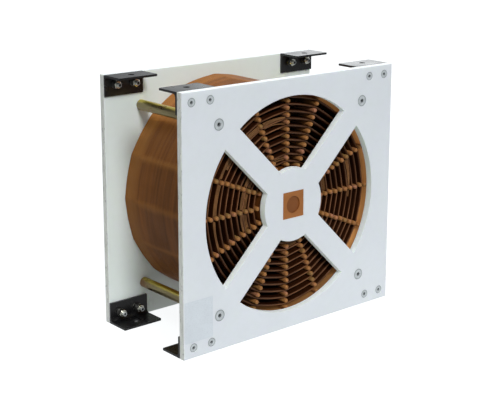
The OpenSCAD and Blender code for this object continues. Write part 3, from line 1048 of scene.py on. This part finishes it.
class REACTOR_OT_rods(bpy.types.Operator):
    """Set the spacer rods, which vary a little in place, between the layers"""

    bl_idname = "reactor.rods"
    bl_label = "Spacer rods"

    def execute(self, context):
        sizes = context.scene.reactor_sizes
        finish = rod_material(context.scene.reactor_finishes)
        radius = sizes.rod_diameter / 2
        cad_radius = min(high.z - low.z for low, high in solid_boxes("duct_rods_1")) / 2
        draw = random.Random(11).uniform
        for node in node_names("duct_rods"):
            low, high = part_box(node)
            from_axis = high.x - cad_radius
            profile = [(low.y + along * radius, share * radius) for along, share in ROD_END]
            profile += [(-at, wide) for at, wide in profile[::-1]]
            places = []
            for k in range(RODS_ROUND):
                angle = 2 * math.pi * k / RODS_ROUND + draw(-1, 1) * sizes.rod_scatter / from_axis
                spot = Vector((from_axis * math.cos(angle), draw(-0.3, 0.3) * MM,
                               AXIS_Z + from_axis * math.sin(angle)))
                places.append((spot, 1, draw(0, 6)))
            rods = placed_copies(turned("rod", profile, 20), places, node.replace("duct", "spacer"))
            settle(rods, finish, [node])
        return {"FINISHED"}


class REACTOR_OT_fasteners(bpy.types.Operator):
    """Make the nuts, washers, spring rings and threads of the bracket screws"""

    bl_idname = "reactor.fasteners"
    bl_label = "Nuts and washers"

    def execute(self, context):
        finishes = context.scene.reactor_finishes
        sizes = context.scene.reactor_sizes
        crest, root = sizes.thread_crest, sizes.thread_root
        washers = sorted(solid_boxes("bracket_washers"), key=lambda box: tuple(box[0]))
        if len(washers) != SCREWS:
            raise RuntimeError(f"{len(washers)} washers were found, not {SCREWS}")
        first_turn, next_turn = 13, 41  # degrees
        places = []
        for k, (low, high) in enumerate(washers):
            way = 1 if low.y < 0 else -1
            middle = (low + high) / 2
            middle.y = low.y if way > 0 else high.y
            places.append((middle, way, math.radians(first_turn + next_turn * k)))

        def raised(by):
            """The places, further along their screws."""
            return [(spot + Vector((0, way * by, 0)), way, turn) for spot, way, turn in places]

        low, high = washers[0]
        stack, outer = high.y - low.y, (high.x - low.x) / 2
        thick, hole = stack / 2, crest + 0.2 * MM
        low, high = solid_boxes("bracket_nuts")[0]
        height, flats = high.y - low.y, min(high.x - low.x, high.z - low.z)
        tips = [high.y if high.y < 0 else low.y for low, high in solid_boxes("bracket_screws")]
        reach = abs(places[0][0].y) - min(abs(tip) for tip in tips)
        sunk, past = MM, 0.03 * MM  # the thread starts inside the nut and ends past the CAD screw
        end = thread_end(reach - stack - height + sunk + past, sizes.thread_pitch, crest, root)
        bright = bright_zinc_material("bright_nuts", finishes.nuts, 0.12, 1.0)
        dull = bright_zinc_material("dull_washers", finishes.washers, 0.3, 0.9)
        pieces = (
            ("washers", plain_washer(outer, hole, thick), 0, dull, ["bracket_washers"]),
            ("spring_rings", spring_ring(outer - MM, hole, thick), thick, dull, []),
            ("nuts", hexagon_nut(flats, height, root), stack, bright, ["bracket_nuts"]),
            ("screw_threads", end, stack + height - sunk, bright, []),
        )
        for name, source, rise, material, replaced in pieces:
            settle(placed_copies(source, raised(rise), name), material, replaced)
        return {"FINISHED"}


class REACTOR_OT_leads(bpy.types.Operator):
    """Lay the leads that cross from layer to layer in the mouths of the front ducts"""

    bl_idname = "reactor.leads"
    bl_label = "Leads"

    def execute(self, context):
        sizes = context.scene.reactor_sizes
        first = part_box("coil_layer_1")[1].x
        step = (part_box(f"coil_layer_{LAYERS}")[1].x - first) / (LAYERS - 1)
        layer_and_half_duct = 6.2 * MM
        between_rods = 360 / RODS_ROUND
        leads = []
        for duct, start, end, paths, depth in LEADS:
            middle = first - layer_and_half_duct + step * (duct - 1)
            gap = math.degrees(BY_ROD * MM / middle)
            if start % between_rods == 0:
                start += gap
            if end % between_rods == 0:
                end -= gap
            for path in paths:
                stops = path if isinstance(path, tuple) else (path, path)
                radii = [middle + off * MM for off in stops]
                leads.append(strand(f"lead_{duct}", start, end, radii, depth * MM, sizes.lead_width,
                                    sizes.lead_thickness))
        settle(join(leads, "layer_leads"), lead_material(context.scene.reactor_finishes))
        return {"FINISHED"}


class REACTOR_OT_label(bpy.types.Operator):
    """Stick the blank label on the front plate"""

    bl_idname = "reactor.label"
    bl_label = "Blank label"

    def execute(self, context):
        scene = context.scene
        settle(label_piece(scene.reactor_sizes), label_material(scene.reactor_finishes))
        return {"FINISHED"}


class REACTOR_OT_stage(bpy.types.Operator):
    """Build the floor, the lights and the camera"""

    bl_idname = "reactor.stage"
    bl_label = "Studio"

    def execute(self, context):
        scene = context.scene
        studio = scene.reactor_studio
        self.lay_floor(context, studio)
        self.light_room(scene, studio)
        for name, toward, width in LAMPS:
            self.hang_lamp(scene, name, Vector(toward).normalized(), width, getattr(studio, name))
        self.place_camera(scene, studio)
        scene.view_settings.view_transform = "Standard"
        return {"FINISHED"}

    def lay_floor(self, context, studio):
        """A pale floor that shows evenly white, with a painted shadow where it shows through the holes of the
        lower flanges, and gives off less light further away."""
        deselect_all()
        bpy.ops.mesh.primitive_plane_add(size=FLOOR_SIZE, location=(0, 0, 0))
        floor = context.object
        floor.name = "studio_floor"
        n = material_nodes("pale_floor")
        away = n.vector("LENGTH", n.spot)
        bounce = n.grey(away, studio.floor_glow, studio.far_floor, 0.25, 1.2)
        low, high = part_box("bracket_front_right_bottom")
        from_hole = []
        for axis, at in (("X", (low.x + high.x) / 2), ("Y", (low.y + high.y) / 2)):
            sideways = n.math("ABSOLUTE", n.axis(axis))
            from_hole.append(n.math("ABSOLUTE", n.math("SUBTRACT", sideways, abs(at))))
        # Painted shadow on the floor under the holes of the lower flanges.
        shown_with_painted_shadow = n.grey(n.math("MAXIMUM", *from_hole), 0.12, 0.93, 7 * MM, 8 * MM)
        seen = n.add("ShaderNodeLightPath").outputs["Is Camera Ray"]
        glow = n.math("MAXIMUM", n.math("MULTIPLY", seen, shown_with_painted_shadow), bounce)
        paint(floor, n.finish(
            Base_Color=(0.22, 0.225, 0.23), Roughness=0.9, Specular_IOR_Level=0.0,
            Emission_Color=(0.97, 0.99, 1.0), Emission_Strength=glow))

    def light_room(self, scene, studio):
        """Even light on rough surfaces, and for mirrored rays a room that is brighter behind the reactor and
        to its right."""
        scene.world = bpy.data.worlds.new("studio_world")
        n = Nodes(scene.world, "Background")
        rays = n.add("ShaderNodeLightPath").outputs
        toward = n.add("ShaderNodeTexCoord").outputs["Generated"]
        depth = n.grey(n.axis("Y", toward), studio.room_front, studio.backdrop, -0.6, 0.6)
        aside = n.grey(n.axis("X", toward), studio.room_left, studio.room_right, 0.555, 0.69)
        mirrored_room = n.math("MULTIPLY", depth, aside)
        light = n.between(rays["Is Diffuse Ray"], mirrored_room, studio.room_light)
        white = 1.05
        n.finish(Color=(0.95, 0.98, 1.0), Strength=n.between(rays["Is Camera Ray"], light, white))

    def hang_lamp(self, scene, name, toward, width, strength):
        """A far lamp in a direction, as wide as its width in degrees."""
        data = bpy.data.lights.new(name, "SUN")
        data.angle = math.radians(width)
        data.energy = strength
        lamp = bpy.data.objects.new(name, data)
        scene.collection.objects.link(lamp)
        turn = toward.to_track_quat("Z", "Y").to_matrix().to_4x4()
        lamp.matrix_world = Matrix.Translation(toward * LAMP_DISTANCE) @ turn

    def place_camera(self, scene, studio):
        data = bpy.data.cameras.new("camera")
        data.lens = studio.focal_length
        data.shift_x, data.shift_y = studio.frame_shift
        data.clip_start, data.clip_end = 0.05, 50
        camera = bpy.data.objects.new("camera", data)
        scene.collection.objects.link(camera)
        turn = (Matrix.Rotation(-studio.heading, 4, "Z")
                @ Matrix.Rotation(math.pi / 2 - studio.tilt, 4, "X")
                @ Matrix.Rotation(studio.roll, 4, "Z"))
        camera.matrix_world = Matrix.Translation(studio.camera_place) @ turn
        scene.camera = camera


class REACTOR_PT_panel(bpy.types.Panel):
    """Buttons and settings of the reactor's looks in the sidebar"""

    bl_idname = "REACTOR_PT_panel"
    bl_label = "Reactor"
    bl_space_type = "VIEW_3D"
    bl_region_type = "UI"
    bl_category = "Reactor"

    def draw(self, context):
        for operator in OPERATORS:
            self.layout.operator(operator.bl_idname)
        for group in ("reactor_finishes", "reactor_sizes", "reactor_studio"):
            settings = getattr(context.scene, group)
            box = self.layout.box()
            for name in settings.bl_rna.properties.keys():
                if name not in ("rna_type", "name"):
                    box.prop(settings, name)


OPERATORS = (
    REACTOR_OT_finish_parts,
    REACTOR_OT_winding,
    REACTOR_OT_rods,
    REACTOR_OT_fasteners,
    REACTOR_OT_leads,
    REACTOR_OT_label,
    REACTOR_OT_stage,
)
CLASSES = (ReactorFinishes, ReactorSizes, StudioSettings, *OPERATORS, REACTOR_PT_panel)


def register():
    for cls in CLASSES:
        bpy.utils.register_class(cls)
    bpy.types.Scene.reactor_finishes = bpy.props.PointerProperty(type=ReactorFinishes)
    bpy.types.Scene.reactor_sizes = bpy.props.PointerProperty(type=ReactorSizes)
    bpy.types.Scene.reactor_studio = bpy.props.PointerProperty(type=StudioSettings)


def unregister():
    del bpy.types.Scene.reactor_studio
    del bpy.types.Scene.reactor_sizes
    del bpy.types.Scene.reactor_finishes
    for cls in reversed(CLASSES):
        bpy.utils.unregister_class(cls)


def main():
    register()
    for operator in OPERATORS:
        family, name = operator.bl_idname.split(".")
        getattr(getattr(bpy.ops, family), name)()


if __name__ == "__main__":
    main()
